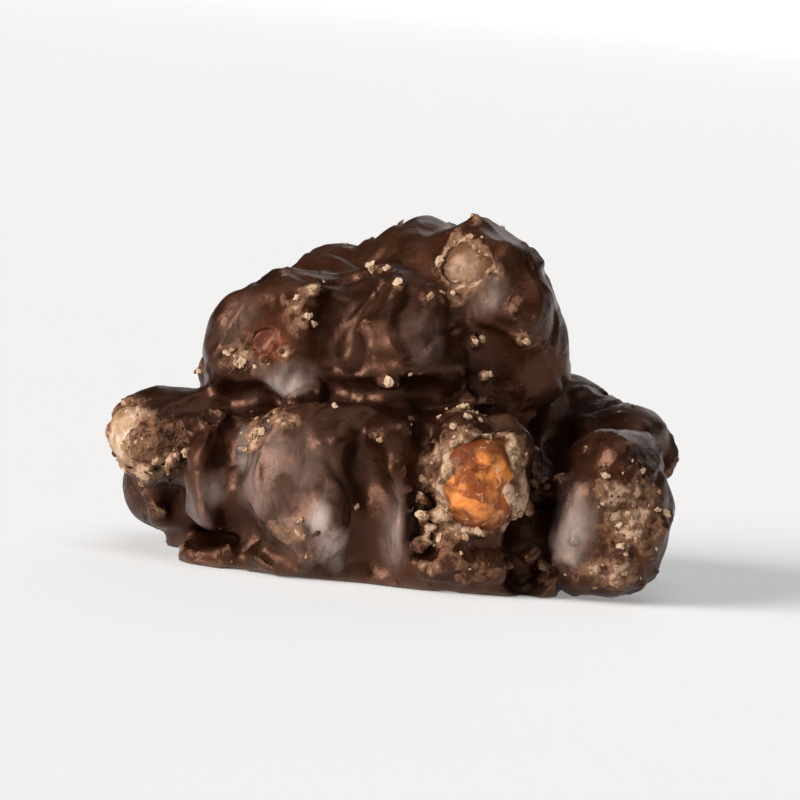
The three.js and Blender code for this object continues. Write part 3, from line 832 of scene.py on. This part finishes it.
# ------------------------------------------------------------------ materials
class Shader:
    def __init__(self, name):
        self.mat = bpy.data.materials.new(name)
        self.mat.use_nodes = True
        self.tree = self.mat.node_tree
        self.tree.nodes.clear()
        self.out = self.tree.nodes.new("ShaderNodeOutputMaterial")
        self.bsdf = self.tree.nodes.new("ShaderNodeBsdfPrincipled")
        self.tree.links.new(self.bsdf.outputs[0], self.out.inputs[0])
        coord = self.tree.nodes.new("ShaderNodeTexCoord")
        scale = self.tree.nodes.new("ShaderNodeVectorMath")
        scale.operation = "SCALE"
        scale.inputs["Scale"].default_value = 1000
        self.tree.links.new(coord.outputs["Object"], scale.inputs[0])
        self.mm = scale.outputs[0]

    def feed(self, socket, value):
        if isinstance(value, bpy.types.NodeSocket):
            self.tree.links.new(value, socket)
        elif isinstance(value, tuple) and len(value) == 3 and socket.type == "RGBA":
            socket.default_value = (*value, 1)
        else:
            socket.default_value = value

    def math(self, op, a, b=0.0, clamp=False):
        n = self.tree.nodes.new("ShaderNodeMath")
        n.operation, n.use_clamp = op, clamp
        self.feed(n.inputs[0], a)
        self.feed(n.inputs[1], b)
        return n.outputs[0]

    def mix(self, amount, a, b):
        n = self.tree.nodes.new("ShaderNodeMix")
        n.data_type = "RGBA"
        self.feed(n.inputs[0], amount)
        self.feed(n.inputs[6], a)
        self.feed(n.inputs[7], b)
        return n.outputs[2]

    def blend(self, amount, a, b):
        n = self.tree.nodes.new("ShaderNodeMix")
        n.data_type = "FLOAT"
        self.feed(n.inputs[0], amount)
        self.feed(n.inputs[2], a)
        self.feed(n.inputs[3], b)
        return n.outputs[0]

    def noise(self, wave, detail=2.0, rough=0.5, bent=0.0, where=None):
        n = self.tree.nodes.new("ShaderNodeTexNoise")
        self.feed(n.inputs["Vector"], where or self.mm)
        n.inputs["Scale"].default_value = 1 / wave
        n.inputs["Detail"].default_value = detail
        n.inputs["Roughness"].default_value = rough
        n.inputs["Distortion"].default_value = bent
        return n.outputs["Fac"]

    def cells(self, wave, feature="F1", where=None, out="Distance"):
        n = self.tree.nodes.new("ShaderNodeTexVoronoi")
        n.feature = feature
        self.feed(n.inputs["Vector"], where or self.mm)
        n.inputs["Scale"].default_value = 1 / wave
        return n.outputs[out]

    def stretched(self, x, y, z):
        n = self.tree.nodes.new("ShaderNodeMapping")
        self.tree.links.new(self.mm, n.inputs["Vector"])
        n.inputs["Scale"].default_value = (x, y, z)
        return n.outputs[0]

    def ramp(self, value, lo, hi, out_lo=0.0, out_hi=1.0):
        n = self.tree.nodes.new("ShaderNodeMapRange")
        n.interpolation_type = "SMOOTHSTEP"
        self.feed(n.inputs[0], value)
        for i, v in enumerate((lo, hi, out_lo, out_hi)):
            n.inputs[1 + i].default_value = v
        return n.outputs[0]

    def attribute(self, name):
        n = self.tree.nodes.new("ShaderNodeAttribute")
        n.attribute_name = name
        return n.outputs["Fac"]

    def bump(self, height, strength=1.0, after=None):
        n = self.tree.nodes.new("ShaderNodeBump")
        n.inputs["Strength"].default_value = strength
        n.inputs["Distance"].default_value = 0.001
        self.feed(n.inputs["Height"], height)
        if after is not None:
            self.feed(n.inputs["Normal"], after)
        return n.outputs[0]

    def finish(self, colour, rough, normal=None, **fixed):
        self.feed(self.bsdf.inputs["Base Color"], colour)
        self.feed(self.bsdf.inputs["Roughness"], rough)
        if normal is not None:
            self.feed(self.bsdf.inputs["Normal"], normal)
        for key, value in fixed.items():
            self.feed(self.bsdf.inputs[key.replace("_", " ")], value)
        return self.mat


def chocolate_material():
    s = Shader("dark_chocolate")
    scuff, bulge, open_, under = (s.attribute(k) for k in ("scuff", "bulge", "open", "under"))
    # the chocolate itself: near black to red brown, with painted shade darkening its creases and hollows
    slow = s.noise(5.0, 2, 0.5, 0.6)
    mid = s.noise(1.6, 3, 0.55)
    colour = s.mix(s.ramp(slow, 0.38, 0.62), (0.0125, 0.0037, 0.0012), (0.030, 0.0090, 0.0031))
    colour = s.mix(s.math("MULTIPLY", s.ramp(mid, 0.52, 0.72), 0.6), colour, (0.050, 0.0155, 0.0058))
    # painted shade: darker where the surface is less open, in creases and hollows
    colour = s.mix(s.ramp(open_, 0.80, 0.40, 0.0, 0.75), colour, (0.0085, 0.0024, 0.0009))
    # a thin greyish film at random, only on open faces, and painted sheen: pale patches where the key lamp's light
    # glances off the lobes
    streak = s.noise(1.5, 4, 0.6, 0.5, s.stretched(1.0, 1.0, 0.45))
    sheen_and_film = s.math("MULTIPLY", s.ramp(s.noise(2.6, 4, 0.62, 0.4), 0.50, 0.68), s.ramp(open_, 0.55, 0.9))
    colour = s.mix(s.math("MULTIPLY", sheen_and_film, 0.06), colour, (0.120, 0.070, 0.050))
    # painted sheen: pale grey where the key lamp glances off, streaked
    sheen_and_film = s.math("MULTIPLY", s.attribute("sheen_and_film"), s.ramp(streak, 0.34, 0.64, 0.20, 1.0))
    colour = s.mix(s.math("MULTIPLY", sheen_and_film, 0.88), colour, (0.205, 0.136, 0.112))
    # painted glints: near white grey where the painted sheen is brightest
    colour = s.mix(s.math("MULTIPLY", s.attribute("painted_glint"), s.ramp(streak, 0.30, 0.58, 0.35, 1.0)), colour, (0.50, 0.400, 0.355))
    colour = s.mix(s.math("MULTIPLY", s.attribute("red"), s.ramp(mid, 0.30, 0.60, 0.40, 0.95)), colour, (0.118, 0.028, 0.012))
    # rubbed and crumbly places: mottled tan to cream
    grain = s.noise(0.55, 4, 0.6, 0.3)
    patch = s.noise(1.25, 3, 0.55, 0.5)
    want = s.math("ADD", s.math("MULTIPLY", scuff, 0.66), s.math("MULTIPLY", bulge, 0.10))
    level = s.math("ADD", want, s.math("ADD", s.math("MULTIPLY", s.math("SUBTRACT", grain, 0.5), 0.9),
                                       s.math("MULTIPLY", s.math("SUBTRACT", patch, 0.5), 1.1)))
    tan = s.ramp(level, 0.32, 0.56)
    cream = s.ramp(level, 0.57, 0.84)
    colour = s.mix(s.math("MULTIPLY", tan, 0.82), colour, (0.198, 0.102, 0.056))
    colour = s.mix(s.math("MULTIPLY", cream, 0.88), colour, (0.56, 0.375, 0.250))
    # the dull underside, with slivers of nut cut flat by the sheet it set on
    low = s.mix(s.ramp(s.noise(1.0, 4, 0.6), 0.4, 0.65), (0.095, 0.062, 0.046), (0.150, 0.104, 0.078))
    sliver = s.ramp(s.noise(3.4, 1.5, 0.4, 0.8, s.stretched(1.0, 0.55, 1.0)), 0.665, 0.69)
    low = s.mix(sliver, low, (0.50, 0.22, 0.065))
    colour = s.mix(under, colour, low)

    rough = s.blend(s.ramp(s.noise(2.2, 3, 0.55), 0.38, 0.64), 0.32, 0.50)
    rough = s.blend(s.math("MULTIPLY", sheen_and_film, 0.8), rough, 0.50)
    rough = s.blend(tan, rough, 0.74)
    rough = s.blend(under, rough, 0.66)
    fine = s.math("MULTIPLY", s.noise(0.35, 3, 0.6), 0.018)
    wavy = s.math("MULTIPLY", s.noise(1.0, 3, 0.5), 0.10)
    crust = s.math("MULTIPLY", s.math("MULTIPLY", level, s.ramp(scuff, 0.05, 0.6)), 0.20)
    height = s.math("ADD", s.math("ADD", fine, wavy), crust)
    return s.finish(colour, rough, s.bump(height), IOR=1.5, Specular_IOR_Level=0.58, Specular_Tint=(1.0, 0.48, 0.31, 1))


def nut_material(name, dark, mid, light, cream):
    s = Shader(name)
    chip = s.attribute("chip")
    body = s.noise(1.6, 3, 0.55, 0.7)
    edge = s.math("ADD", s.attribute("shown"), s.math("MULTIPLY", s.math("SUBTRACT", s.noise(1.1, 3, 0.55), 0.5), 1.1))
    colour = s.mix(s.ramp(body, 0.44, 0.60), mid, light)
    colour = s.mix(s.ramp(edge, 1.05, 0.62, 0.0, 0.85), colour, dark)
    colour = s.mix(s.ramp(s.noise(0.8, 4, 0.6), 0.56, 0.74), colour, dark)
    colour = s.mix(s.math("MULTIPLY", s.ramp(chip, 0.62, 0.85), 0.35), colour, dark)
    colour = s.mix(s.math("MULTIPLY", s.ramp(s.noise(0.6, 3, 0.55, 0.4), 0.60, 0.72), 0.8), colour, cream)
    height = s.math("ADD", s.math("MULTIPLY", s.noise(0.30, 3, 0.6), 0.05),
                    s.math("MULTIPLY", s.noise(0.9, 2, 0.5), 0.14))
    rough = s.blend(s.ramp(s.noise(0.9, 2, 0.5), 0.35, 0.65), 0.38, 0.62)
    return s.finish(colour, rough, s.bump(height), Subsurface_Weight=0.10, Specular_Tint=(1.0, 0.78, 0.62, 1),
                    Subsurface_Radius=(0.0012, 0.0006, 0.0003), IOR=1.47)


def crumb_material(name, low, high, rough):
    s = Shader(name)
    tone = s.attribute("tone")
    colour = s.mix(tone, low, high)
    colour = s.mix(s.math("MULTIPLY", s.noise(0.5, 3, 0.5), 0.5), colour, low)
    return s.finish(colour, s.blend(s.noise(0.6, 2, 0.5), rough - 0.1, rough + 0.1),
                    s.bump(s.math("MULTIPLY", s.noise(0.2, 2, 0.5), 0.03)), IOR=1.48, Specular_Tint=(1.0, 0.60, 0.42, 1))


choc = chocolate_material()
spot = nut_material("tan_peanut", (0.120, 0.052, 0.024), (0.20, 0.098, 0.052), (0.30, 0.165, 0.098), (0.50, 0.34, 0.25))
roast = nut_material("roasted_peanut", (0.115, 0.023, 0.006), (0.30, 0.068, 0.012), (0.76, 0.255, 0.055), (0.66, 0.38, 0.19))
skin = nut_material("red_skinned_peanut", (0.085, 0.014, 0.005), (0.150, 0.026, 0.009), (0.19, 0.044, 0.017), (0.25, 0.090, 0.045))
pale = nut_material("pale_peanut", (0.24, 0.115, 0.050), (0.50, 0.32, 0.19), (0.66, 0.49, 0.36), (0.76, 0.62, 0.52))
coat_obj.data.materials.append(choc)
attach(coat_obj, "root")
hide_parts("chocolate_body")
for obj, name in nuts:
    obj.data.materials.append({"peanut_upper_left": skin, "peanut_top": spot, "peanut_left": pale}.get(name, roast))
    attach(obj, "root")
    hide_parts(name)
nut_crumbs.data.materials.append(crumb_material("nut_crumb", (0.33, 0.19, 0.10), (0.66, 0.48, 0.33), 0.7))
dark_crumbs.data.materials.append(crumb_material("chocolate_crumb", (0.045, 0.0165, 0.0075), (0.135, 0.066, 0.037), 0.62))
for obj, slot in ((nut_crumbs, "roasted_peanut"), (dark_crumbs, "dark_chocolate")):
    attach(obj, "root")


# ------------------------------------------------------------------ stage, light, camera
def stage_floor():
    """A wide pale floor that curves up at its rim, so that every side has a plain ground."""
    prof = [(0.0, 0.0), (0.06, 0.0), (0.2, 0.0), (0.6, 0.0), (1.2, 0.0), (1.9, 0.0)]
    for i in range(1, 11):
        a = math.radians(62) * i / 10
        prof.append((1.9 + 0.42 * math.sin(a), 0.42 * (1 - math.cos(a))))
    n = 96
    v, f = [(0.0, 0.0, 0.0)], []
    for r, z in prof[1:]:
        v += [(r * math.cos(2 * math.pi * i / n), r * math.sin(2 * math.pi * i / n), z) for i in range(n)]
    for i in range(n):
        f.append((0, 1 + i, 1 + (i + 1) % n))
    for k in range(len(prof) - 2):
        a, b = 1 + k * n, 1 + (k + 1) * n
        f += [(a + i, b + i, b + (i + 1) % n, a + (i + 1) % n) for i in range(n)]
    mesh = bpy.data.meshes.new("floor")
    mesh.from_pydata(v, [], f)
    for p in mesh.polygons:
        p.use_smooth = True
    obj = bpy.data.objects.new("floor", mesh)
    bpy.context.scene.collection.objects.link(obj)
    s = Shader("pale_floor")
    tone = s.mix(s.noise(60, 2, 0.5), (0.82, 0.82, 0.82), (0.84, 0.84, 0.84))
    obj.data.materials.append(s.finish(tone, 0.9, IOR=1.3, Emission_Color=(1, 1, 1, 1), Emission_Strength=0.24))


def lamp(name, azimuth, elevation, power, spread, colour=(1, 1, 1)):
    """A far soft lamp: the way to it round the cluster from the viewer, and how wide it looks."""
    light = bpy.data.lights.new(name, "SUN")
    light.energy, light.angle, light.color = power, math.radians(spread), colour
    obj = bpy.data.objects.new(name, light)
    a, e = math.radians(azimuth), math.radians(elevation)
    way = mathutils.Vector((math.sin(a) * math.cos(e), -math.cos(a) * math.cos(e), math.sin(e)))
    obj.rotation_euler = way.to_track_quat("Z", "Y").to_euler()
    obj.location = way * 0.5
    bpy.context.scene.collection.objects.link(obj)


stage_floor()
world = bpy.data.worlds.new("room")
world.use_nodes = True
world.node_tree.nodes["Background"].inputs[0].default_value = (1.0, 1.0, 1.0, 1)
world.node_tree.nodes["Background"].inputs[1].default_value = 0.035
bpy.context.scene.world = world
lamp("key", -54, 19, 4.6, 40, (1.0, 0.98, 0.96))
lamp("top", 20, 74, 0.7, 50)
lamp("back", 165, 30, 0.4, 40)

forward, up = view_axes()
t = math.radians(ROLL)
middle = np.array([-0.6, 0, 0]) + up * (13.0 - VIEW_DROP)    # of the frame, in the tables' frame
distance = 400.0
camera = bpy.data.cameras.new("camera")
camera.sensor_width, camera.lens = 36, 36 * distance / 57.0
camera.clip_start, camera.clip_end = 0.02, 10
cam = bpy.data.objects.new("camera", camera)
right = np.array([1.0, 0, 0])
r2, u2 = right * math.cos(t) + up * math.sin(t), up * math.cos(t) - right * math.sin(t)
basis = mathutils.Matrix((r2, u2, -forward)).transposed()
cam.matrix_world = mathutils.Matrix.Translation(((middle + SHIFT - forward * distance) * 0.001).tolist()) @ basis.to_4x4()
bpy.context.scene.collection.objects.link(cam)
bpy.context.scene.camera = cam
bpy.context.scene.view_settings.view_transform = "Standard"
bpy.context.scene.view_settings.look = "None"
bpy.context.scene.view_settings.exposure = 0.0
